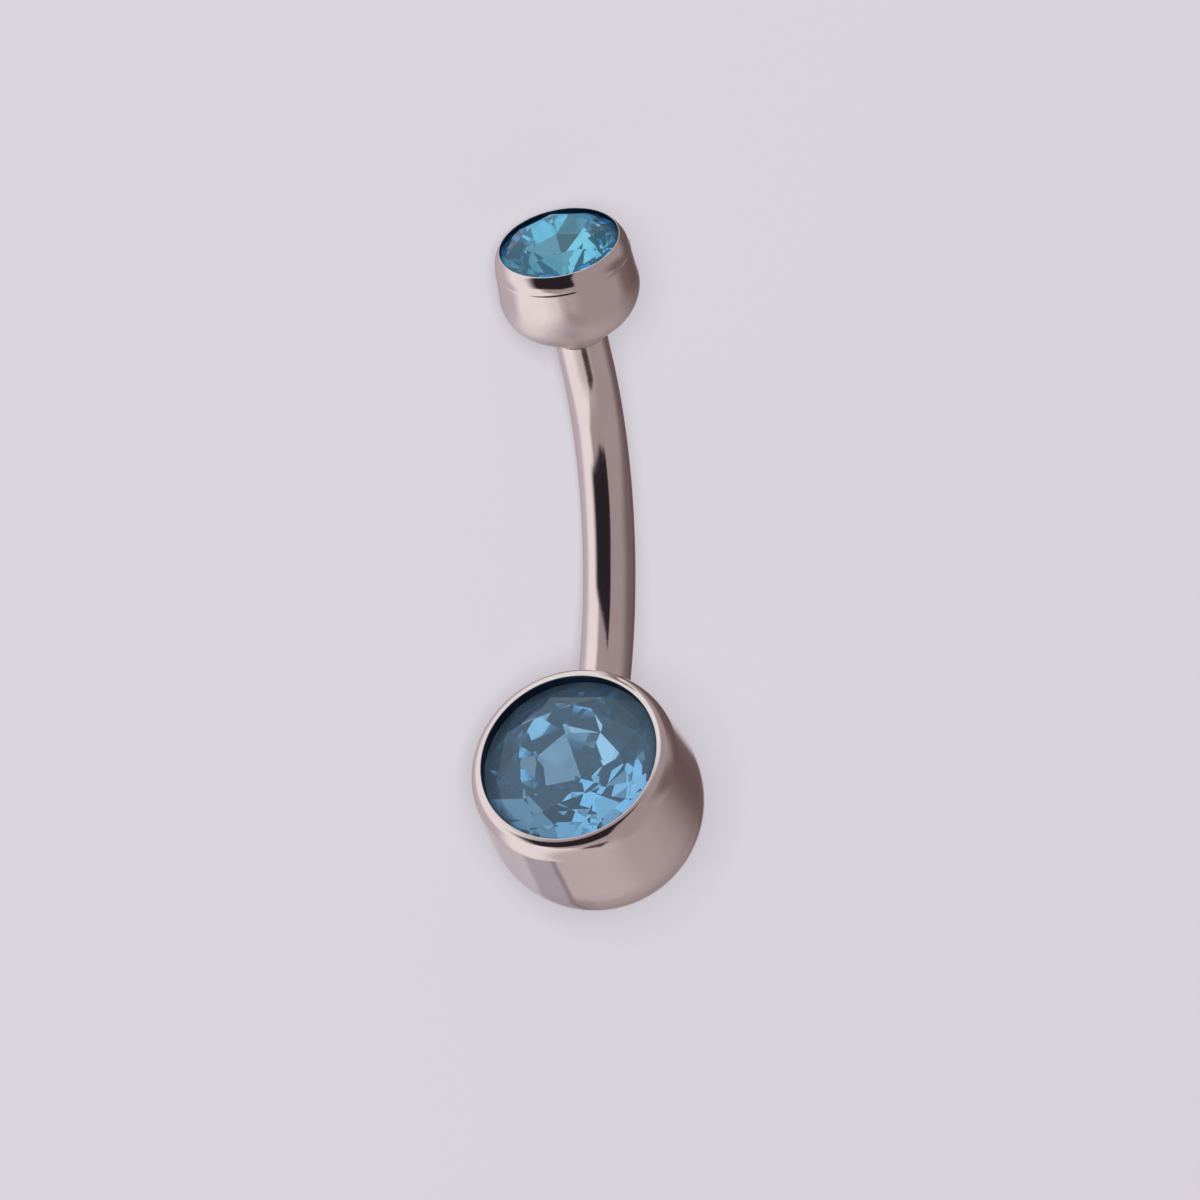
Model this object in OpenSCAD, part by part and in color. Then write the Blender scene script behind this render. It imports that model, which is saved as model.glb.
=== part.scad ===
// Curved bar for a navel piercing, with a stone in a cup at each end. The lower cup is one piece with
// the bar; the top cup has a post that goes into the bar's upper end. It lies on its side, as it rests
// on a table: the back of the lower cup, the bend of the bar and the base of the top cup touch it.
//
// Lengths are in millimetres, angles in degrees. The shapes are first built in the ring's own frame:
// y runs along the bar to the top end, z towards the side that the stones face, x across the ring, and
// the middle of the bend is at the origin. Profiles of turned shapes are lists of [radius, height].

/* [Bar] */
// thickness of the bar
bar_diameter = 1.6;
// [1:0.1:2.4]
// straight distance between the bar's two ends
bar_length = 11.1;
// [8:0.1:16]
// half of the angle that the bar bends through
bend_half_angle = 27.5;
// [18:0.5:36]
// straight stretch beyond the bend at each end
straight_end = 1.06;
// [0.9:0.02:1.8]

/* [Lower cup] */
// metal outside the stone's edge at the rim
lower_rim_wall = 0.315;
// [0.26:0.005:0.5]
// how much wider the ball is than its rim, on the radius
ball_bulge = 0.165;
// [0.1:0.005:0.3]
// height of the rim's face above the ball's centre
lower_face_height = 2.88;
// [2.4:0.02:3.4]
// angle of the stone's axis up from the line between the bar's ends
lower_stone_angle = 52.4;
// [40:0.2:65]
// how deep the bar's end sits inside the ball's outline
ball_sink = 0.105;
// [0.05:0.005:0.3]
// bevel around the rim's face
lower_bevel = 0.245;
// [0.12:0.005:0.28]
// rounding between the bevel and the side
lower_shoulder_radius = 0.3;
// [0.1:0.01:0.5]
// how far the lip reaches in over the stone's edge
lower_lip_cover = 0.125;
// [0.06:0.005:0.2]

/* [Top cup] */
// metal outside the stone's edge at the rim
top_rim_wall = 0.15;
// [0.12:0.005:0.4]
// how much wider the cup is above its base than at its rim, on the radius
top_bulge = 0.07;
// [0.02:0.005:0.2]
// height of the cup from the bar's end to the rim's face
top_cup_height = 3.32;
// [2.9:0.02:4.2]
// rounding between the base and the side
base_radius = 1.34;
// [0.9:0.02:1.7]
// how far the base rises from the bar's end to the start of the rounding
base_rise = 0.36;
// [0.2:0.02:0.6]
// bevel around the rim's face
top_bevel = 0.095;
// [0.05:0.005:0.11]
// rounding between the bevel and the side
top_shoulder_radius = 0.24;
// [0.1:0.01:0.4]
// how far the lip reaches in over the stone's edge
top_lip_cover = 0.08;
// [0.05:0.005:0.15]

/* [Post and bore] */
// thickness of the post under the top cup
post_diameter = 1.0;
// [0.6:0.05:1.05]
// length of the post below the cup
post_length = 2;
// [1.2:0.1:2.4]
// radial room around the post in the bore
post_clearance = 0.04;
// [0.02:0.01:0.08]
// room below the post at the bottom of the bore
bore_extra_depth = 0.2;
// [0.1:0.05:0.5]
// open seam between the bar's end and the top cup
seam_gap = 0.015;
// [0.01:0.005:0.05]

/* [Stones] */
// diameter of the stone in the lower cup
lower_stone_diameter = 5.7;
// [5:0.1:6.4]
// diameter of the stone in the top cup
top_stone_diameter = 3.8;
// [3.2:0.1:4.6]
// height of the lower stone's flat top above its rim
lower_table_rise = 0.22;
// [0.1:0.02:0.4]
// height of the top stone's flat top above its rim
top_table_rise = 0.27;
// [0.05:0.01:0.3]
// room between a stone and the metal of its pocket
stone_gap = 0.03;
// [0.02:0.005:0.06]
// width of the flat top as a share of the stone
table_share = 0.58;
// [0.5:0.01:0.66]
// height above the stone's edge as a share of its diameter
crown_share = 0.13;
// [0.1:0.005:0.16]
// thickness of the stone's edge as a share of its diameter
girdle_share = 0.022;
// [0.015:0.001:0.04]
// depth below the stone's edge as a share of its diameter
pavilion_share = 0.33;
// [0.3:0.005:0.36]
// depth where the lower facets meet as a share of the whole depth below the edge
facet_depth_share = 0.6;
// [0.58:0.01:0.66]
// radius where the lower facets meet as a share of the stone's radius
lower_facet_share = 0.5;
// [0.46:0.01:0.56]

/* [Hidden] */
$fn = 96;
arc_steps = 24;
// step down from the straight ends to the bend, and how far the ends reach over it
bend_step = 0.005;
end_overlap = 0.1;
bar_radius = bar_diameter / 2;
lower_stone_radius = lower_stone_diameter / 2;
top_stone_radius = top_stone_diameter / 2;
lower_rim_radius = lower_stone_radius + lower_rim_wall;
ball_radius = lower_rim_radius + ball_bulge;
top_rim_radius = top_stone_radius + top_rim_wall;
top_cup_radius = top_rim_radius + top_bulge;
post_radius = post_diameter / 2;

// Ends and axes of the bar in the ring's frame.
bend_radius = (bar_length / 2 - straight_end * cos(bend_half_angle)) / sin(bend_half_angle);
end_height = bend_radius * (1 - cos(bend_half_angle)) + straight_end * sin(bend_half_angle);
top_axis = [0, cos(bend_half_angle), sin(bend_half_angle)];
low_axis = [0, -cos(bend_half_angle), sin(bend_half_angle)];
top_end = [0, bar_length / 2, end_height];
low_end = [0, -bar_length / 2, end_height];
ball_centre = low_end + low_axis * (ball_radius - ball_sink);
stone_axis = [0, cos(lower_stone_angle), sin(lower_stone_angle)];
cup_seat = top_end + top_axis * seam_gap;

// Parts of profiles.
function arc(c, r, a0, a1) =
    [for (i = [0 : arc_steps]) let (a = a0 + (a1 - a0) * i / arc_steps) c + r * [cos(a), sin(a)]];
// direction square to the line that touches two circles on their outer side
function tangent_angle(c1, r1, c2, r2) =
    atan2(c2[1] - c1[1], c2[0] - c1[0]) - acos((r1 - r2) / norm(c2 - c1));
// direction square to the line from a point that touches a circle on its lower side
function touch_angle(p, c, r) = atan2(p[1] - c[1], p[0] - c[0]) + acos(r / norm(p - c));
// centre of the shoulder's rounding, under a 45 degree bevel that ends at the rim's face
function shoulder(rim, face, bevel, r) = [rim - r, face - bevel - r * sin(45)];

// Outside of the lower cup: a ball, a side that touches it, the shoulder and the bevel.
low_shoulder = shoulder(lower_rim_radius, lower_face_height, lower_bevel, lower_shoulder_radius);
low_side = tangent_angle([0, 0], ball_radius, low_shoulder, lower_shoulder_radius);
low_lip_outer = low_shoulder[0] + lower_shoulder_radius * cos(45) - lower_bevel;
low_outside = concat(
    arc([0, 0], ball_radius, -90, low_side),
    arc(low_shoulder, lower_shoulder_radius, low_side, 45),
    [[low_lip_outer, lower_face_height], [0, lower_face_height]]
);

// Outside of the top cup: a land on the bar's end, a base that widens, the rounded corner and the side.
corner = [top_cup_radius - base_radius, base_rise + base_radius];
base_touch = touch_angle([bar_radius, 0], corner, base_radius);
top_shoulder = shoulder(top_rim_radius, top_cup_height, top_bevel, top_shoulder_radius);
top_side = tangent_angle(corner, base_radius, top_shoulder, top_shoulder_radius);
top_lip_outer = top_shoulder[0] + top_shoulder_radius * cos(45) - top_bevel;
top_outside = concat(
    [[0, 0], [bar_radius, 0]],
    arc(corner, base_radius, base_touch, top_side),
    arc(top_shoulder, top_shoulder_radius, top_side, 45),
    [[top_lip_outer, top_cup_height], [0, top_cup_height]]
);

// Outline of a stone of radius 1 with its flat top at height 0: the outermost points on each level.
mid_share = (table_share * cos(22.5) + 1) / 2;
crown_height = 2 * crown_share;
girdle_height = 2 * girdle_share;
pavilion_height = 2 * pavilion_share;
mid_drop = crown_height * (mid_share * cos(22.5) - table_share) / (1 - table_share);
facet_drop = pavilion_height * facet_depth_share;
level_mid = -mid_drop;
level_edge = -crown_height;
level_under = level_edge - girdle_height;
level_facet = level_under - facet_drop;
level_tip = level_under - pavilion_height;
// height of the stone's upper side at a radius between the mid points and the edge
function crown_level(r) = level_edge + (1 - r) / (1 - mid_share) * (level_mid - level_edge);
function stone_outline(r) = r * [
    [table_share, 0], [mid_share, level_mid], [1, level_edge], [1, level_under],
    [lower_facet_share, level_facet], [0, level_tip]
];
// Pocket for a stone of radius r with its flat top at height z, open through the rim's face.
function pocket(r, z, cover, face) = [
    [0, face + 1],
    [r - cover, face + 1],
    [r - cover, z + r * crown_level((r - cover) / r) + stone_gap],
    [r + stone_gap, z + r * level_edge + stone_gap],
    [r + stone_gap, z + r * level_under],
    [r * lower_facet_share + stone_gap, z + r * level_facet - stone_gap],
    [0, z + r * level_tip - stone_gap]
];
low_table = lower_face_height + lower_table_rise;
top_table = top_cup_height + top_table_rise;

// How the ring rests. Each function gives the lowest level of a shape along the upward direction u.
function ball_low(u) = u * ball_centre - ball_radius;
function cup_low(u) =
    u * (cup_seat + top_axis * corner[1]) - corner[0] * sqrt(1 - pow(u * top_axis, 2)) - base_radius;
function bar_low(u) = bend_radius * (u[2] - norm([u[1], u[2]])) - bar_radius + bend_step;
// upward direction for a roll onto the side and a pitch along the bar
function upward(q) = [sin(q[0]) * cos(q[1]), sin(q[1]), cos(q[0]) * cos(q[1])];
function miss(q) = let (u = upward(q)) [ball_low(u) - bar_low(u), cup_low(u) - bar_low(u)];
// Newton steps to the roll and pitch where all three touch the table
function settle(q, n) = n == 0 ? q : let (
    f = miss(q),
    a = (miss(q + [0.01, 0]) - f) / 0.01,
    b = (miss(q + [0, 0.01]) - f) / 0.01,
    det = a[0] * b[1] - a[1] * b[0]
) settle(q - [f[0] * b[1] - b[0] * f[1], a[0] * f[1] - f[0] * a[1]] / det, n - 1);
rest = settle([46, -3], 12);

// Axes of the table's frame: z up, x along the bar to the lower cup, stones facing -y and up.
table_z = upward(rest);
along = [0, -1, 0] + table_z * table_z[1];
table_x = along / norm(along);
table_y = cross(table_z, table_x);

// Furthest reach of the shapes in a direction d, and from it the middle and the lowest level.
function turned_reach(points, o, axis, d) =
    max([for (p = points) (o + axis * p[1]) * d + p[0] * sqrt(max(0, 1 - pow(axis * d, 2)))]);
function bar_reach(d) = bar_radius - bend_step + (abs(atan2(d[1], -d[2])) <= bend_half_angle
    ? bend_radius * (d[2] + norm([d[1], d[2]]))
    : max(d * top_end, d * low_end));
low_lift = [for (p = stone_outline(lower_stone_radius)) p + [0, low_table]];
top_lift = [for (p = stone_outline(top_stone_radius)) p + [0, top_table]];
function reach(d) = max(
    turned_reach(concat(low_outside, low_lift), ball_centre, stone_axis, d),
    turned_reach(concat(top_outside, top_lift), cup_seat, top_axis, d),
    bar_reach(d)
);
shift = [
    (reach(-table_x) - reach(table_x)) / 2,
    (reach(-table_y) - reach(table_y)) / 2,
    reach(-table_z)
];

// Lays the ring's frame on the table.
module lie() {
    multmatrix([
        [table_x[0], table_x[1], table_x[2], shift[0]],
        [table_y[0], table_y[1], table_y[2], shift[1]],
        [table_z[0], table_z[1], table_z[2], shift[2]]
    ]) children();
}

// Places of the turned shapes, each with its axis along z.
module at_lower_cup() {
    translate(ball_centre) rotate([lower_stone_angle - 90, 0, 0]) children();
}

module at_top_cup() {
    translate(cup_seat) rotate([bend_half_angle - 90, 0, 0]) children();
}

module at_end(side) {
    translate(side > 0 ? top_end : low_end)
        rotate([side * (bend_half_angle - 90), 0, 0])
            children();
}

// The bar: a bend between two straight ends, the lower one running on into the ball. The straight ends
// reach a little over the bend, which is thinner than they are by a hair.
module bar() {
    translate([0, 0, bend_radius])
        rotate([0, 90, 0])
            rotate([0, 0, -bend_half_angle])
                rotate_extrude(angle = 2 * bend_half_angle)
                    translate([bend_radius, 0])
                        circle(r = bar_radius - bend_step);
    at_end(1)
        translate([0, 0, -straight_end - end_overlap])
            cylinder(r = bar_radius, h = straight_end + end_overlap);
    at_end(-1)
        translate([0, 0, -straight_end - end_overlap])
            cylinder(r = bar_radius, h = straight_end + end_overlap + ball_sink + bar_radius / 2);
}

// Round brilliant of radius r, its flat top at height 0.
module brilliant(r) {
    ring8 = [for (k = [0 : 7]) 45 * k];
    ring16 = [for (k = [0 : 15]) 22.5 * k];
    points = r * concat(
        [for (a = ring8) [table_share * cos(a), table_share * sin(a), 0]],
        [for (a = ring8) [mid_share * cos(a + 22.5), mid_share * sin(a + 22.5), level_mid]],
        [for (a = ring16) [cos(a), sin(a), level_edge]],
        [for (a = ring16) [cos(a), sin(a), level_under]],
        [for (a = ring8)
            [lower_facet_share * cos(a + 22.5), lower_facet_share * sin(a + 22.5), level_facet]],
        [[0, 0, level_tip]]
    );
    faces = concat(
        [[7, 6, 5, 4, 3, 2, 1, 0]],
        [for (k = [0 : 7]) [k, (k + 1) % 8, 8 + k]],
        [for (k = [0 : 7]) [k, 8 + k, 16 + 2 * k, 8 + (k + 7) % 8]],
        [for (k = [0 : 7]) [8 + k, 17 + 2 * k, 16 + 2 * k]],
        [for (k = [0 : 7]) [8 + k, 16 + (2 * k + 2) % 16, 17 + 2 * k]],
        [for (k = [0 : 15]) [16 + k, 16 + (k + 1) % 16, 32 + (k + 1) % 16, 32 + k]],
        [for (k = [0 : 7]) [48 + k, 32 + 2 * k, 33 + 2 * k]],
        [for (k = [0 : 7]) [48 + k, 33 + 2 * k, 32 + (2 * k + 2) % 16]],
        [for (k = [0 : 7]) [48 + (k + 7) % 8, 32 + 2 * k, 48 + k]],
        [for (k = [0 : 7]) [56, 48 + (k + 7) % 8, 48 + k]]
    );
    polyhedron(points = points, faces = faces, convexity = 2);
}

// Bar and lower cup in one piece, with the stone's pocket and the bore for the post.
module barbell() {
    color([0.66, 0.59, 0.58])
        lie()
            difference() {
                union() {
                    bar();
                    at_lower_cup() rotate_extrude() polygon(low_outside);
                }
                at_lower_cup()
                    rotate_extrude()
                        polygon(pocket(
                            lower_stone_radius, low_table, lower_lip_cover, lower_face_height
                        ));
                at_end(1)
                    translate([0, 0, -post_length - bore_extra_depth])
                        cylinder(r = post_radius + post_clearance, h = post_length + bore_extra_depth + 1);
            }
}

// Top cup and its post in one piece.
module top_setting() {
    color([0.70, 0.62, 0.61])
        lie()
            at_top_cup()
                difference() {
                    union() {
                        rotate_extrude() polygon(top_outside);
                        translate([0, 0, -post_length]) cylinder(r = post_radius, h = post_length + 0.3);
                    }
                    rotate_extrude()
                        polygon(pocket(top_stone_radius, top_table, top_lip_cover, top_cup_height));
                }
}

module lower_stone() {
    color([0.20, 0.50, 0.68])
        lie()
            at_lower_cup()
                translate([0, 0, low_table])
                    brilliant(lower_stone_radius);
}

module top_stone() {
    color([0.27, 0.70, 0.78])
        lie()
            at_top_cup()
                translate([0, 0, top_table])
                    brilliant(top_stone_radius);
}

barbell();
lower_stone();
top_setting();
top_stone();
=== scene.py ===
"""Navel ring with a stone cup at each end of a curved bar, lying on a pale floor in soft light.

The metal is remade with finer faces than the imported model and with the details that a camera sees:
broken edges, the thread of the post and of the bore, and the lips pressed over the stones. The
packed stones stay and get their cut glass here.
"""

import math

import bmesh
import bpy
import numpy as np
from mathutils import Matrix, Vector


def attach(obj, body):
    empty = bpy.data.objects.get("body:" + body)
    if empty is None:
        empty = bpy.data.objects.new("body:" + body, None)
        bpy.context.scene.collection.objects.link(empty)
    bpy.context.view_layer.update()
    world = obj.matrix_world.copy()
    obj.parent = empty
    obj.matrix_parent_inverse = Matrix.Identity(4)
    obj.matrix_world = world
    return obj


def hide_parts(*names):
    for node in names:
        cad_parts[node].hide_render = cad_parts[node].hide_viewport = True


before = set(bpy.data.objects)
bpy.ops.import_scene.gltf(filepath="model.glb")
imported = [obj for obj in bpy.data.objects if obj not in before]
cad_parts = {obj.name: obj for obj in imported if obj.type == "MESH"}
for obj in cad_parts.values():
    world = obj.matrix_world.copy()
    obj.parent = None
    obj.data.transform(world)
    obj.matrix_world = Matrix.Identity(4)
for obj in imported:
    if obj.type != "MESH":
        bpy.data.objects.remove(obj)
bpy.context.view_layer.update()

# ---------------------------------------------------------------- sizes
# Lengths are in millimetres in the ring's own frame: y runs along the bar to the top end, z to the
# side that the stones face, x across. TABLE takes that frame to the ring's place on the table.
TABLE = Matrix((
    (-0.0364804, -0.998771, -0.0335422, -1.10316),
    (0.67684, 0.0, -0.73613, 2.6421),
    (0.735226, -0.049557, 0.676008, 0.81311),
    (0.0, 0.0, 0.0, 1.0),
))
MM = 0.001
RING = Matrix.Scale(MM, 4) @ TABLE

BAR_RADIUS = 0.8
BEND_RADIUS = 9.98329
END_TILT = 27.5  # degrees from the bar's middle to each end
HALF_ANGLE = math.radians(END_TILT)
STRAIGHT_END = 1.06
BAR_INSIDE_BALL = 0.45  # how far the bar goes on inside the ball, before the two are joined
LOWER_TILT = 52.4  # degrees, of the lower cup

BORE_WALL = 0.542
BORE_FLOOR = 2.18  # depth below the bar's end
BORE_THREAD_DEPTH = 0.07
POST_LENGTH = 2.0
POST_ROOT = 0.37  # radius at the bottom of the post's thread
POST_THREAD_DEPTH = 0.128
THREAD_PITCH = 0.25
THREAD_STEPS = 10  # rows of points in each turn of a thread

# a stone is its radius and the height of its flat top above its cup's origin
LOWER_STONE = (2.85, 3.10)
TOP_STONE = (1.9, 3.59)
# levels below a stone's flat top as shares of its radius: both sides of its edge, the foot of the
# lower facets' first row, and the tip
EDGE_TOP, EDGE_UNDER, FACET_FOOT, TIP = 0.26, 0.304, 0.70, 0.964
# how far the facets above the edge run inwards while they rise, as shares of the radius
CROWN_RUN, CROWN_RISE = 0.23207, 0.17985

# numbers of points around each turned shape
BALL_SIDES = 192
BAR_SIDES = 96
TOP_SIDES = 160
BEND_STEPS = 120

# parts of a mesh, which get their normals in different ways
CUP, TUBE, MOUTH, PLAIN = 0, 1, 2, 3

top_axis = Vector((0, math.cos(HALF_ANGLE), math.sin(HALF_ANGLE)))
top_end = Vector((0, 5.55, 1.61746))
low_axis = Vector((0, -math.cos(HALF_ANGLE), math.sin(HALF_ANGLE)))
low_end = Vector((0, -5.55, 1.61746))


def turned_place(origin, tilt):
    """The place of a turned shape, whose axis runs along its own z."""
    return RING @ Matrix.Translation(origin) @ Matrix.Rotation(math.radians(tilt - 90), 4, "X")


LOWER_CUP = turned_place((0, -8.41061, 3.1066), LOWER_TILT)
TOP_CUP = turned_place((0, 5.56331, 1.62438), END_TILT)
BAR_TOP = turned_place(top_end, END_TILT)


# ---------------------------------------------------------------- profiles
# A profile is a list of (radius, height), given in a turned shape's own frame.
def arc(centre, radius, start, end, steps):
    """Points of an arc. The angles are in degrees."""
    angles = np.radians(np.linspace(start, end, steps + 1))
    return [(centre[0] + radius * math.cos(a), centre[1] + radius * math.sin(a)) for a in angles]


def rounded(points, radii, steps=4):
    """The open polyline with its inner corners rounded, each by its own radius."""
    out = [points[0]]
    for i in range(1, len(points) - 1):
        a, b, c = (Vector(points[j]) for j in (i - 1, i, i + 1))
        r = radii[i - 1]
        u, v = (a - b).normalized(), (c - b).normalized()
        turn = math.acos(max(-1, min(1, u.dot(v))))
        if r <= 0 or turn > math.radians(176):
            out.append(tuple(b))
            continue
        reach = min(r / math.tan(turn / 2), 0.49 * (a - b).length, 0.49 * (c - b).length)
        r = reach * math.tan(turn / 2)
        centre = b + (u + v).normalized() * (r / math.sin(turn / 2))
        p, q = b + u * reach - centre, b + v * reach - centre
        sweep = math.pi - turn
        side = 1 if p.x * q.y - p.y * q.x > 0 else -1
        for k in range(steps + 1):
            w = side * sweep * k / steps
            out.append((
                centre.x + p.x * math.cos(w) - p.y * math.sin(w),
                centre.y + p.x * math.sin(w) + p.y * math.cos(w),
            ))
    out.append(points[-1])
    return out


def stone_pocket(stone, cover, face):
    """From the lip's inner corner down to the pocket's bottom, with a hair of room for the stone.

    cover is how far the lip reaches in over the stone, and face is the height of the lip's face.
    """
    radius, table = stone
    share = (radius - cover) / radius
    lip_under = table + radius * (-EDGE_TOP + (1 - share) / CROWN_RUN * CROWN_RISE)
    over, beside, below = 0.012, 0.02, 0.03
    return [
        (radius - cover, face),
        (radius - cover, lip_under + over),
        (radius + beside, table - EDGE_TOP * radius + over),
        (radius + below, table - EDGE_UNDER * radius),
        (radius * 0.5 + below, table - FACET_FOOT * radius - below),
        (0, table - TIP * radius - below),
    ]


def thread(low, high, root, depth):
    """Profile points of a thread from the lower height to the higher one, running out at both ends.

    A point is (radius, height, what the thread adds to the radius at an angle).
    """
    steps = int(round((high - low) / THREAD_PITCH * THREAD_STEPS))
    run_out = 0.6 * THREAD_PITCH
    out = []
    for i in range(steps + 1):
        z = low + (high - low) * i / steps
        fade = min(1.0, (z - low) / run_out, (high - z) / run_out)

        def relief(angle, z=z, fade=fade):
            turn = (z / THREAD_PITCH - angle / (2 * math.pi)) % 1.0
            wave = abs(2 * turn - 1)  # 1 at the crest, 0 at the root, both cut flat below
            return depth * max(0.0, min(1.0, (wave - 0.12) / 0.74)) * fade

        out.append((root, z, relief))
    return out


# ---------------------------------------------------------------- meshes
def grid(rows, start_tip, end_tip):
    """Vertices and faces of a surface through rows of equal length, closed by a tip at each end."""
    count = len(rows[0])
    verts = [p for row in rows for p in row] + [start_tip, end_tip]
    faces = []
    for i in range(len(rows) - 1):
        for k in range(count):
            a, b = i * count + k, i * count + (k + 1) % count
            faces.append((a, b, b + count, a + count))
    start, end, base = len(verts) - 2, len(verts) - 1, (len(rows) - 1) * count
    faces += [(start, (k + 1) % count, k) for k in range(count)]
    faces += [(end, base + k, base + (k + 1) % count) for k in range(count)]
    return verts, faces


def turned_rows(profile, place, count, first=0.0):
    """Rows of a turned surface. A profile point may have a third item, its relief by angle.

    first is the place of the first point in steps: half a step keeps points off the bend's plane.
    """
    rows = []
    for point in profile:
        row = []
        for k in range(count):
            a = 2 * math.pi * (k + first) / count
            r = point[0] + (point[2](a) if len(point) > 2 else 0)
            row.append(place @ Vector((r * math.cos(a), r * math.sin(a), point[1])))
        rows.append(row)
    return rows


def ring_of(centre, along, radius, relief=None):
    """One row of the bar's points, around a centre and square to a direction."""
    across = Vector((1, 0, 0))
    up = along.cross(across)
    row = []
    for k in range(BAR_SIDES):
        a = 2 * math.pi * k / BAR_SIDES
        r = radius + (relief(a) if relief else 0)
        row.append(RING @ (centre + r * (math.cos(a) * across + math.sin(a) * up)))
    return row


def bar_top_rows(profile):
    """Rows of a turned surface at the bar's top end. Their points line up with the bar's own."""
    return [
        ring_of(top_end + top_axis * point[1], top_axis, point[0], *point[2:]) for point in profile
    ]


def make_object(name, verts, faces, parts):
    """An object whose faces keep their part's number as a material's number for the time being."""
    mesh = bpy.data.meshes.new(name)
    mesh.from_pydata([tuple(v) for v in verts], [], faces)
    for _ in (CUP, TUBE, MOUTH, PLAIN):
        mesh.materials.append(None)
    mesh.polygons.foreach_set("material_index", parts)
    piece = bpy.data.objects.new(name, mesh)
    bpy.context.scene.collection.objects.link(piece)
    bm = bmesh.new()
    bm.from_mesh(mesh)
    bmesh.ops.recalc_face_normals(bm, faces=bm.faces)
    bm.to_mesh(mesh)
    bm.free()
    return piece


def profile_normals(profile, place, centres, points):
    """Normals of a turned surface at points, each by the stretch of profile nearest to its face."""
    sharp, much_longer = math.cos(math.radians(34)), 3.5
    inverse = np.array(place.inverted())
    axes = np.array(place.to_3x3()) / MM

    def local(p):
        q = p @ inverse[:3, :3].T + inverse[:3, 3]
        return q, np.hypot(q[:, 0], q[:, 1])

    line = np.array([p[:2] for p in profile], float)
    ways = np.diff(line, axis=0)
    lengths = np.linalg.norm(ways, axis=1)
    square = np.stack([ways[:, 1], -ways[:, 0]], axis=1) / lengths[:, None]
    # the normal turns smoothly along an arc and stays where a corner is sharp
    joints = np.zeros((len(line), 2, 2))
    joints[0, 1], joints[-1, 0] = square[0], square[-1]
    for i in range(1, len(line) - 1):
        a, b = square[i - 1], square[i]
        if a @ b > sharp:
            before, after = lengths[i - 1], lengths[i]
            m = a if before > much_longer * after else b if after > much_longer * before else a + b
            joints[i, 0] = joints[i, 1] = m / np.linalg.norm(m)
        else:
            joints[i, 0], joints[i, 1] = a, b
    q, radius = local(points)
    c, centre_radius = local(centres)
    flat = np.stack([centre_radius, c[:, 2]], axis=1)
    best, nearest = np.full(len(flat), 1e9), np.zeros(len(flat), int)
    for i in range(len(ways)):
        t = np.clip(((flat - line[i]) @ ways[i]) / lengths[i] ** 2, 0, 1)
        gap = np.linalg.norm(line[i] + t[:, None] * ways[i] - flat, axis=1)
        closer = gap < best
        best[closer], nearest[closer] = gap[closer], i
    spot = np.stack([radius, q[:, 2]], axis=1)
    t = np.clip(((spot - line[nearest]) * ways[nearest]).sum(1) / lengths[nearest] ** 2, 0, 1)
    n = joints[nearest, 1] * (1 - t[:, None]) + joints[nearest + 1, 0] * t[:, None]
    r = np.maximum(radius, 1e-9)
    out = np.stack([n[:, 0] * q[:, 0] / r, n[:, 0] * q[:, 1] / r, n[:, 1]], axis=1)
    on_axis = radius < 1e-6
    out[on_axis] = np.stack([0 * r, 0 * r, np.sign(n[:, 1])], axis=1)[on_axis]
    return out @ axes.T


def bar_normals(points):
    """Normals of the bent tube: away from its middle line."""
    inverse = np.array(RING.inverted())
    p = points @ inverse[:3, :3].T + inverse[:3, 3]
    angle = np.clip(np.arctan2(p[:, 1], BEND_RADIUS - p[:, 2]), -HALF_ANGLE, HALF_ANGLE)
    along = np.stack([0 * angle, np.cos(angle), np.sin(angle)], axis=1)
    reach, rise = BEND_RADIUS * np.sin(angle), BEND_RADIUS * (1 - np.cos(angle))
    middle = np.stack([0 * angle, reach, rise], axis=1)
    away = p - middle
    away -= (away * along).sum(1)[:, None] * along
    return away @ (np.array(RING.to_3x3()) / MM).T


def read(items, name, kind=float, width=1):
    """An array of one property of all of a mesh's faces, corners or vertices."""
    values = np.zeros(len(items) * width, kind)
    items.foreach_get(name, values)
    return values.reshape(-1, width) if width > 1 else values


def finish_mesh(piece, normals_of):
    """Smooth shading with each part's true normals. normals_of maps a part to its function."""
    mesh = piece.data
    mesh.polygons.foreach_set("use_smooth", [True] * len(mesh.polygons))
    corner = read(mesh.loops, "vertex_index", np.int32)
    co = read(mesh.vertices, "co", width=3)
    starts = read(mesh.polygons, "loop_start", np.int32)
    totals = read(mesh.polygons, "loop_total", np.int32)
    parts = read(mesh.polygons, "material_index", np.int32)
    centres = read(mesh.polygons, "center", width=3)
    face_normals = read(mesh.polygons, "normal", width=3)
    owner = np.zeros(len(mesh.loops), np.int32)
    order = np.concatenate([np.arange(s, s + t) for s, t in zip(starts, totals)])
    owner[order] = np.repeat(np.arange(len(starts)), totals)
    normals = read(mesh.vertices, "normal", width=3)[corner]
    for part, function in normals_of.items():
        mine = parts[owner] == part
        found = function(centres[owner[mine]], co[corner[mine]])
        found /= np.maximum(np.linalg.norm(found, axis=1), 1e-12)[:, None]
        flip = (found * face_normals[owner[mine]]).sum(1) < 0
        found[flip] *= -1
        normals[mine] = found
    mesh.normals_split_custom_set([tuple(n) for n in normals])
    mesh.polygons.foreach_set("material_index", [0] * len(mesh.polygons))


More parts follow.
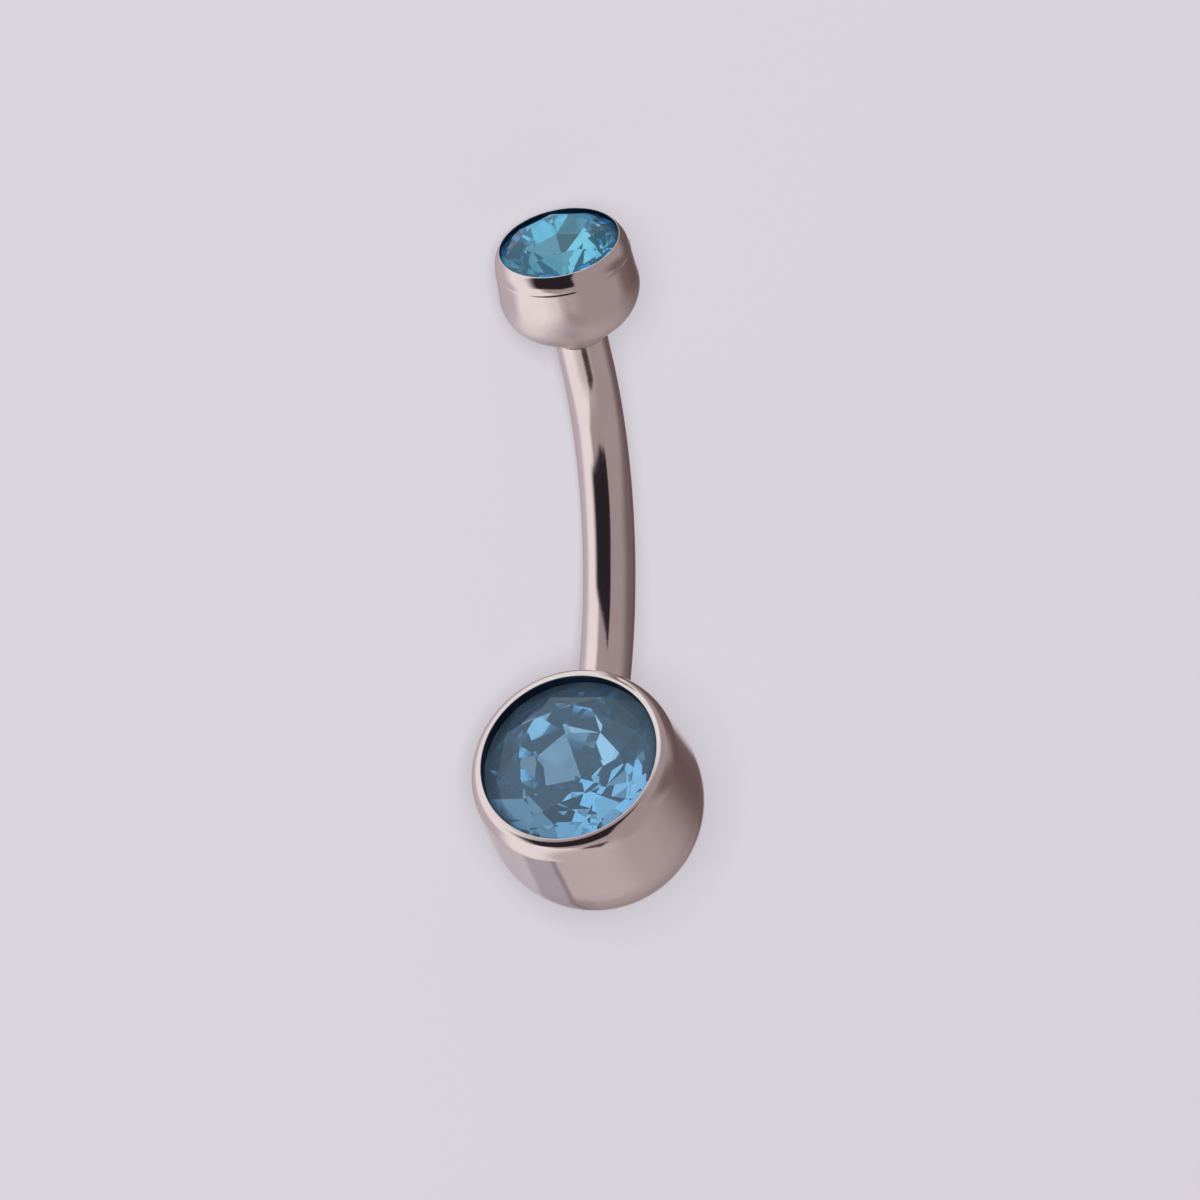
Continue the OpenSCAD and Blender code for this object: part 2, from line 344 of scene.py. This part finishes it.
# ---------------------------------------------------------------- lower cup and bar
# a ball with a straight side, whose edge rounds over tighter and tighter to the lip
LOWER_SIDE = 4.07678
lower_profile = (
    arc((0, 0), 3.33, -90, LOWER_SIDE, 72)
    + arc((1.9590, 2.0925), 1.2272, LOWER_SIDE, 31, 18)
    + arc((2.7366, 2.5598), 0.32, 31, 84, 16)[1:]
    + rounded([(2.7705, 2.8781), *stone_pocket(LOWER_STONE, 0.125, 2.88)], (0.015, 0, 0, 0, 0))
)
verts, faces = grid(
    turned_rows(lower_profile[1:-1], LOWER_CUP, BALL_SIDES, 0.5),
    LOWER_CUP @ Vector((0, 0, lower_profile[0][1])),
    LOWER_CUP @ Vector((0, 0, lower_profile[-1][1])),
)
ball = make_object("lower_cup_and_bar", verts, faces, [CUP] * len(faces))

thirds = (0.33, 0.67)  # places of the rows between in each straight end
tube = [ring_of(low_end + low_axis * s, -low_axis, BAR_RADIUS) for s in (BAR_INSIDE_BALL, 0.2, 0)]
tube += [ring_of(low_end - low_axis * STRAIGHT_END * t, -low_axis, BAR_RADIUS) for t in thirds]
for k in range(BEND_STEPS + 1):
    a = -HALF_ANGLE + 2 * HALF_ANGLE * k / BEND_STEPS
    middle = Vector((0, BEND_RADIUS * math.sin(a), BEND_RADIUS * (1 - math.cos(a))))
    tube.append(ring_of(middle, Vector((0, math.cos(a), math.sin(a))), BAR_RADIUS))
tube += [ring_of(top_end - top_axis * STRAIGHT_END * (1 - t), top_axis, BAR_RADIUS) for t in thirds]

# the bar's top end, sloping into the bore, and the bore down to its floor
mouth_profile = rounded(
    [(BAR_RADIUS, -0.2), (BAR_RADIUS, 0), (0.66, 0), (0.55, -0.11)], (0.022, 0.01), 5
)
mouth_rows = bar_top_rows(mouth_profile)
bore_rows = bar_top_rows(
    thread(-1.7, -0.12, BORE_WALL, BORE_THREAD_DEPTH)[::-1]
    + [(BORE_WALL, -1.75), (BORE_WALL, -BORE_FLOOR)]
)
# how many strips of faces each part has, in the order of the rows, and last the two tips
strips = (
    (TUBE, len(tube)),
    (MOUTH, len(mouth_rows) - 1),
    (PLAIN, len(bore_rows)),
    (TUBE, 1),
    (PLAIN, 1),
)
verts, faces = grid(
    tube + mouth_rows + bore_rows,
    RING @ (low_end + low_axis * BAR_INSIDE_BALL),
    RING @ (top_end - top_axis * BORE_FLOOR),
)
parts = [part for part, n in strips for _ in range(n * BAR_SIDES)]
bar = make_object("bar_part", verts, faces, parts)

join = ball.modifiers.new("join", "BOOLEAN")
join.operation, join.solver, join.object = "UNION", "EXACT", bar
join.material_mode = "INDEX"
bpy.context.view_layer.update()
joined = bpy.data.meshes.new_from_object(ball.evaluated_get(bpy.context.evaluated_depsgraph_get()))
ball.modifiers.clear()
ball.data = joined
bpy.data.objects.remove(bar)
finish_mesh(ball, {
    CUP: lambda c, p: profile_normals(lower_profile, LOWER_CUP, c, p),
    TUBE: lambda c, p: bar_normals(p),
    MOUTH: lambda c, p: profile_normals(mouth_profile, BAR_TOP, c, p),
})
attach(ball, "ring")
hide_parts("barbell")

# ---------------------------------------------------------------- top cup and its post
TOP_SIDE = 3.02121
base_arc = arc((0.78, 1.70), 1.34, -51.3418, TOP_SIDE, 36)
crease = (
    arc((1.9572, 2.7322), 0.11, TOP_SIDE, 26, 6)
    + arc((2.1550, 2.8286), 0.11, 206, 180 + TOP_SIDE, 6)[1:]
)
shoulder = arc((1.2677, 2.7864), 0.7782, TOP_SIDE, 42, 20)
cup_profile = (
    rounded([(0.40, 0.0), (BAR_RADIUS, 0.0), base_arc[0]], (0.02,), 5)[:-1]
    + base_arc
    + crease
    + shoulder
    + arc((1.8200, 3.2837), 0.035, 42, 84, 5)[1:]
    + rounded([(1.8236, 3.3186), *stone_pocket(TOP_STONE, 0.08, 3.32)], (0.012, 0, 0, 0, 0))
)
post_profile = (
    rounded(
        [(0.0, -POST_LENGTH), (0.30, -POST_LENGTH), (POST_ROOT, -POST_LENGTH + 0.08)], (0.02,), 3
    )
    + thread(-POST_LENGTH + 0.10, -0.34, POST_ROOT, POST_THREAD_DEPTH)
    + [(POST_ROOT, -0.32), (POST_ROOT, -0.03), (0.40, 0.0)]
)
top_profile = post_profile + cup_profile[1:]
strips = ((PLAIN, len(post_profile) - 2), (CUP, len(cup_profile) - 2), (PLAIN, 1), (CUP, 1))
verts, faces = grid(
    turned_rows(top_profile[1:-1], TOP_CUP, TOP_SIDES),
    TOP_CUP @ Vector((0, 0, -POST_LENGTH)),
    TOP_CUP @ Vector((0, 0, top_profile[-1][1])),
)
parts = [part for part, n in strips for _ in range(n * TOP_SIDES)]
cup = make_object("top_cup_and_post", verts, faces, parts)
finish_mesh(cup, {CUP: lambda c, p: profile_normals(cup_profile, TOP_CUP, c, p)})
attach(cup, "top")
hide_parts("top_setting")


# ---------------------------------------------------------------- materials
class Graph:
    """The emptied node tree of a material or world, with short ways to add the nodes used here."""

    def __init__(self, owner):
        owner.use_nodes = True
        self.nodes, self.links = owner.node_tree.nodes, owner.node_tree.links
        self.nodes.clear()

    def feed(self, target, value):
        """Link an input to another node's output, or set its own value."""
        if isinstance(value, bpy.types.NodeSocket):
            self.links.new(value, target)
        else:
            target.default_value = value

    def math(self, operation, *values):
        node = self.nodes.new("ShaderNodeMath")
        node.operation = operation
        for target, value in zip(node.inputs, values):
            self.feed(target, value)
        return node.outputs["Value"]

    def ramp(self, value, start, end, low=0.0, high=1.0, smooth=True):
        """low where the value is at start, high where it is at end."""
        node = self.nodes.new("ShaderNodeMapRange")
        if smooth:
            node.interpolation_type = "SMOOTHSTEP"
        if start > end:
            start, end, low, high = end, start, high, low
        names = ("From Min", "From Max", "To Min", "To Max")
        for name, number in zip(names, (start, end, low, high)):
            node.inputs[name].default_value = number
        self.links.new(value, node.inputs["Value"])
        return node.outputs["Result"]

    def mix(self, factor, a, b):
        """Colour a where the factor is 0, b where it is 1. Each is a tuple or a node's output."""
        node = self.nodes.new("ShaderNodeMix")
        node.data_type = "RGBA"
        self.links.new(factor, node.inputs["Factor"])
        for name, colour in (("A", a), ("B", b)):
            self.feed(node.inputs[name], (*colour, 1) if isinstance(colour, tuple) else colour)
        return node.outputs["Result"]

    def placed(self, place, scale):
        """The object's own coordinates as seen from a place, in units of the scale."""
        where = self.nodes.new("ShaderNodeTexCoord")
        node = self.nodes.new("ShaderNodeMapping")
        node.vector_type = "TEXTURE"
        location, rotation, _ = place.decompose()
        node.inputs["Location"].default_value = location
        node.inputs["Rotation"].default_value = rotation.to_euler()
        node.inputs["Scale"].default_value = (scale, scale, scale)
        self.links.new(where.outputs["Object"], node.inputs["Vector"])
        return node.outputs["Vector"]

    def split(self, vector):
        node = self.nodes.new("ShaderNodeSeparateXYZ")
        self.links.new(vector, node.inputs["Vector"])
        return node.outputs["X"], node.outputs["Y"], node.outputs["Z"]

    def noise(self, vector, scale, detail):
        node = self.nodes.new("ShaderNodeTexNoise")
        node.inputs["Scale"].default_value = scale
        node.inputs["Detail"].default_value = detail
        self.links.new(vector, node.inputs["Vector"])
        return node.outputs["Fac"]


def new_material(name):
    """A material, its node tree and its surface."""
    material = bpy.data.materials.new(name)
    graph = Graph(material)
    out = graph.nodes.new("ShaderNodeOutputMaterial")
    surface = graph.nodes.new("ShaderNodeBsdfPrincipled")
    graph.links.new(surface.outputs["BSDF"], out.inputs["Surface"])
    return material, graph, surface.inputs


METAL_TINT = (0.86, 0.80, 0.79)


def polished_metal(name, place, roughness, pocket, satin=None):
    """Polished titanium: faint marks of the lathe, wipe marks and a slightly uneven gloss.

    pocket is the lip's inner radius, and the pocket's lowest and highest level: its walls are dull
    and painted near black, as shade in the recess. From the first level of satin down to the second,
    the polish turns into satin.
    """
    material, graph, surface = new_material(name)
    surface["Metallic"].default_value = 1.0
    surface["Specular Tint"].default_value = (0.85, 0.80, 0.80, 1)
    spot = graph.placed(place, MM)
    x, y, level = graph.split(spot)
    from_axis = graph.math("SQRT", graph.math("MULTIPLY_ADD", x, x, graph.math("MULTIPLY", y, y)))
    # the pocket under the stone, which gets a painted shade and a duller finish
    inside = graph.math("LESS_THAN", from_axis, pocket[0] + 0.012)
    inside = graph.math("MULTIPLY", inside, graph.math("GREATER_THAN", level, pocket[1]))
    inside = graph.math("MULTIPLY", inside, graph.math("LESS_THAN", level, pocket[2]))

    clouds = graph.noise(spot, 0.9, 3)
    fine = graph.noise(spot, 9.0, 4)
    stretch = graph.nodes.new("ShaderNodeVectorMath")
    stretch.operation = "MULTIPLY"
    stretch.inputs[1].default_value = (0.6, 0.6, 26.0)
    graph.links.new(spot, stretch.inputs[0])
    lathe_marks = graph.noise(stretch.outputs["Vector"], 1.0, 2)

    darker, lighter = (tuple(c * share for c in METAL_TINT) for share in (0.975, 1.02))
    colour = graph.mix(graph.ramp(clouds, 0.3, 0.7, smooth=False), darker, lighter)
    # painted shade: the pocket's walls, a recess under the stone, are coloured near black
    graph.feed(surface["Base Color"], graph.mix(inside, colour, (0.06, 0.07, 0.10)))

    gloss = graph.ramp(fine, 0.3, 0.72, roughness * 0.8, roughness * 1.35, smooth=False)
    finish = graph.math("MULTIPLY_ADD", inside, 0.25, gloss)
    if satin:
        finish = graph.math("ADD", finish, graph.ramp(level, *satin, 0.0, 0.32))
    graph.feed(surface["Roughness"], finish)

    bump = graph.nodes.new("ShaderNodeBump")
    bump.inputs["Strength"].default_value = 0.02
    bump.inputs["Distance"].default_value = 0.00002
    graph.feed(bump.inputs["Height"], graph.math("MULTIPLY_ADD", lathe_marks, 0.35, fine))
    graph.feed(surface["Normal"], bump.outputs["Normal"])
    return material


def cut_glass(name, place, stone, glass, foil, edge):
    """Coloured glass with a mirror foil under its edge, so that the lower facets shine."""
    radius, table = stone
    top = table / radius
    material, graph, surface = new_material(name)
    surface["Roughness"].default_value = 0.0
    surface["IOR"].default_value = 1.5
    surface["Transmission Weight"].default_value = 0.93
    surface["Specular Tint"].default_value = (0.5, 0.75, 1.0, 1)
    _, _, level = graph.split(graph.placed(place, MM * radius))
    under = graph.math("LESS_THAN", level, top - 0.262)
    graph.feed(surface["Metallic"], under)
    # painted shade: the foil turns dark towards its top, by the girdle, where the lip shades it
    back = graph.mix(graph.ramp(level, top - 0.50, top - 0.38), foil, edge)
    graph.feed(surface["Base Color"], graph.mix(under, glass, back))
    return material


metal_low = polished_metal(
    "polished_metal_lower", LOWER_CUP, roughness=0.10, pocket=(2.725, 0.25, 2.86)
)
metal_top = polished_metal(
    "polished_metal_top", TOP_CUP, roughness=0.09, pocket=(1.82, 1.5, 3.30), satin=(2.3, 1.5)
)
for piece, metal in ((ball, metal_low), (cup, metal_top)):
    piece.data.materials.clear()
    piece.data.materials.append(metal)


def dress(node, material):
    """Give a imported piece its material, in whatever slots it came with."""
    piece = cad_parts[node]
    if not piece.material_slots:
        piece.data.materials.append(material)
    for s in piece.material_slots:
        s.link = "OBJECT"
        s.material = material


# edge is the colour of the painted shade on each foil's top, under the lip
dress("lower_stone", cut_glass(
    "blue_glass", LOWER_CUP, LOWER_STONE,
    glass=(0.42, 0.72, 0.97), foil=(0.72, 0.90, 0.97), edge=(0.03, 0.09, 0.20),
))
dress("top_stone", cut_glass(
    "aqua_glass", TOP_CUP, TOP_STONE,
    glass=(0.26, 0.77, 0.97), foil=(0.68, 0.88, 0.96), edge=(0.22, 0.60, 0.80),
))

# ---------------------------------------------------------------- camera
# The camera's directions are given in the ring's own frame. It stands straight along camera_back
# from the bar's middle, and aims a little to the left of that middle and below it.
CAMERA_DISTANCE = 250
AIM_LEFT, AIM_BELOW = 0.22, 2.776
camera_right = Vector((0.95459469, -0.06110366, -0.29157388))
camera_up = Vector((0.0161435, 0.98791109, -0.15417871))
camera_back = Vector((0.29746995, 0.14247116, 0.9440411))
turn = TABLE.to_3x3()
to_camera = AIM_LEFT * camera_right + AIM_BELOW * camera_up + CAMERA_DISTANCE * camera_back
back = (turn @ to_camera).normalized()
right = turn @ camera_right
right = (right - back * right.dot(back)).normalized()
up = back.cross(right)
camera = bpy.data.objects.new("camera", bpy.data.cameras.new("camera"))
bpy.context.scene.collection.objects.link(camera)
camera_place = Matrix.Translation(RING @ (CAMERA_DISTANCE * camera_back))
camera.matrix_world = camera_place @ Matrix((right, up, back)).transposed().to_4x4()
camera.data.lens = 247.5
camera.data.sensor_width = 36
camera.data.clip_start = 0.01
camera.data.clip_end = 20
bpy.context.scene.camera = camera

# ---------------------------------------------------------------- floor
# A pale card. It gives off part of its own light, so that shade on it stays faint, and it shows
# neither in the metal nor through the stones.
HALF_FLOOR = 1.5  # metres
corners = [(x * HALF_FLOOR, y * HALF_FLOOR, 0) for x, y in ((-1, -1), (1, -1), (1, 1), (-1, 1))]
floor_mesh = bpy.data.meshes.new("floor")
floor_mesh.from_pydata(corners, [], [(0, 1, 2, 3)])
floor = bpy.data.objects.new("floor", floor_mesh)
bpy.context.scene.collection.objects.link(floor)
floor.visible_glossy = False
floor.visible_transmission = False
pale_card, _, surface = new_material("pale_card")
surface["Base Color"].default_value = (0.150, 0.144, 0.157, 1)
surface["Emission Color"].default_value = (0.687, 0.645, 0.708, 1)
surface["Emission Strength"].default_value = 0.57
surface["Roughness"].default_value = 0.9
surface["Specular IOR Level"].default_value = 0.0
floor_mesh.materials.append(pale_card)

# ---------------------------------------------------------------- room
# The metal reflects a room of soft-edged areas, fixed in place, that was fitted to the photograph:
# a warm grey all round, a brown patch on the right, a bright wall on the left, a strip low behind,
# a dark card beside the camera's place and a pale ceiling. Directions are measured from the
# camera's place: azimuth to the right and height upwards, both in degrees.
world = bpy.data.worlds.new("room")
bpy.context.scene.world = world
room = Graph(world)
out = room.nodes.new("ShaderNodeOutputWorld")
glow = room.nodes.new("ShaderNodeBackground")
room.links.new(glow.outputs["Background"], out.inputs["Surface"])
where = room.nodes.new("ShaderNodeTexCoord")
compute, step, blend = room.math, room.ramp, room.mix


def part_along(direction):
    node = room.nodes.new("ShaderNodeVectorMath")
    node.operation = "DOT_PRODUCT"
    node.inputs[1].default_value = direction
    room.links.new(where.outputs["Generated"], node.inputs[0])
    return node.outputs["Value"]


DEGREE = math.pi / 180
x, y, z = part_along(right), part_along(up), part_along(back)
azimuth = compute("DIVIDE", compute("ARCTAN2", x, z), DEGREE)
height = compute("DIVIDE", compute("ARCSINE", y), DEGREE)


def both(*factors):
    """1 where all factors are 1."""
    out = factors[0]
    for f in factors[1:]:
        out = compute("MULTIPLY", out, f)
    return out


def seen(red, green, blue):
    """What the room has to show for the metal to reflect this colour, given from 0 to 255."""
    values = [c / 255 for c in (red, green, blue)]
    values = [c / 12.92 if c <= 0.04045 else ((c + 0.055) / 1.055) ** 2.4 for c in values]
    return tuple(v / t for v, t in zip(values, METAL_TINT))


def weigh(u, v, w):
    """u x + v y + w z of the direction."""
    total = compute("MULTIPLY_ADD", x, u, 0.0)
    total = compute("MULTIPLY_ADD", y, v, total)
    return compute("MULTIPLY_ADD", z, w, total)


def above(value, limit):
    """How far a value is above a limit, and otherwise 0."""
    return compute("MAXIMUM", compute("ADD", value, -limit), 0)


GREY, GREY_BEHIND, GREY_BELOW = seen(154, 136, 136), seen(166, 148, 149), seen(182, 163, 164)
depth = compute("MULTIPLY", height, -1)
below_level = compute("MAXIMUM", depth, 0)
base = blend(both(step(azimuth, 80, 118), step(height, -20, -42)), GREY, GREY_BEHIND)
base = blend(step(height, -50, -68), base, GREY_BELOW)
# brown patch on the right, with a lobe towards the front
patch_foot = compute("MULTIPLY_ADD", above(azimuth, 140), -0.8, height)
patch = both(step(azimuth, 96, 130), step(patch_foot, -28, 2), step(height, 70, 30))
lobe = both(step(azimuth, 50, 98), step(height, -17, -4), step(height, 24, 4))
patch = compute("MAXIMUM", patch, compute("MULTIPLY", lobe, 0.88))
base = blend(patch, base, seen(103, 83, 81))
# bright wall on the left, duller where it goes back and above
edge = compute("MULTIPLY_ADD", above(depth, 48), 1.9, -47)
wall = both(step(compute("SUBTRACT", azimuth, edge), 9, -9), step(azimuth, -168, -150))
duller = both(step(height, -36, -24), step(azimuth, -92, -118))
warm = blend(duller, seen(227, 211, 210), seen(184, 168, 174))
warm = blend(step(height, -56, -74), warm, GREY_BELOW)
base = blend(wall, base, warm)
low_left_back = both(step(z, -0.25, -0.6), step(height, -44, -58), step(x, -0.45, -0.2))
base = blend(low_left_back, base, GREY_BELOW)
# a grey strip with a dark edge, low behind on the left, and pale haze beyond it
low_back = both(
    step(weigh(-0.885, -0.072, 0.459), 0.12, 0.03), step(y, -0.05, -0.2), step(z, -0.35, -0.5)
)
outer, inner = weigh(0.762, -0.637, 0.110), weigh(0.945, -0.31, 0.104)
strip = both(low_back, step(outer, -0.035, 0.035), step(inner, 0.01, -0.01))
base = blend(strip, base, seen(164, 152, 159))
strip_edge = both(low_back, step(compute("ABSOLUTE", inner), 0.035, 0.012))
base = blend(strip_edge, base, seen(136, 123, 128))
haze = both(low_back, step(outer, 0.035, -0.035), step(z, -0.55, -0.75))
base = blend(haze, base, seen(192, 181, 187))
# a pale spot straight behind
base = blend(both(step(z, -0.93, -0.985), step(height, -24, -12)), base, seen(196, 186, 192))
# the dark card by the camera, with a leaning right edge
right_edge = compute("MULTIPLY_ADD", below_level, 0.38, 6)
bottom = compute("MULTIPLY_ADD", compute("ABSOLUTE", compute("ADD", azimuth, 5)), 0.22, -43)
top = compute("MULTIPLY_ADD", azimuth, 0.35, 30)
card = both(
    step(compute("SUBTRACT", azimuth, right_edge), 2, -2),
    step(azimuth, -72, -50),
    step(compute("SUBTRACT", height, bottom), -2, 3),
    step(compute("SUBTRACT", height, top), 2, -3),
)
sky = blend(card, base, seen(38, 31, 35))
# its narrow foot, far below
foot_top = compute("MULTIPLY_ADD", azimuth, -0.12, height)
foot = both(
    step(foot_top, -63, -65.5),
    step(height, -70.5, -68.5),
    step(azimuth, -8, 4),
    step(azimuth, 52, 44),
)
sky = blend(foot, sky, seen(58, 46, 46))
# the pale ceiling, but not on the right
sky = blend(both(step(height, 42, 58), step(x, 0.30, 0.0)), sky, (0.85, 0.85, 0.85))
room.links.new(sky, glow.inputs["Color"])
glow.inputs["Strength"].default_value = 1.0


# ---------------------------------------------------------------- lamps
def softbox(name, position, size, watts):
    """A square lamp that faces the origin and shows neither in the metal nor through the stones."""
    data = bpy.data.lights.new(name, "AREA")
    data.shape, data.size, data.energy = "SQUARE", size, watts
    lamp = bpy.data.objects.new(name, data)
    bpy.context.scene.collection.objects.link(lamp)
    lamp.location = position
    lamp.rotation_mode = "QUATERNION"
    lamp.rotation_quaternion = (-Vector(position)).to_track_quat("-Z", "Y")
    lamp.visible_glossy = False
    lamp.visible_transmission = False
    lamp.visible_camera = False


softbox("front", 0.9 * back, 0.4, 17.0)
softbox("key", (-0.37, -0.16, 0.30), 0.35, 0.2)

scene = bpy.context.scene
scene.view_settings.view_transform = "Standard"
scene.view_settings.look = "None"
scene.cycles.glossy_bounces = 10
scene.cycles.transmission_bounces = 12
scene.cycles.max_bounces = 14
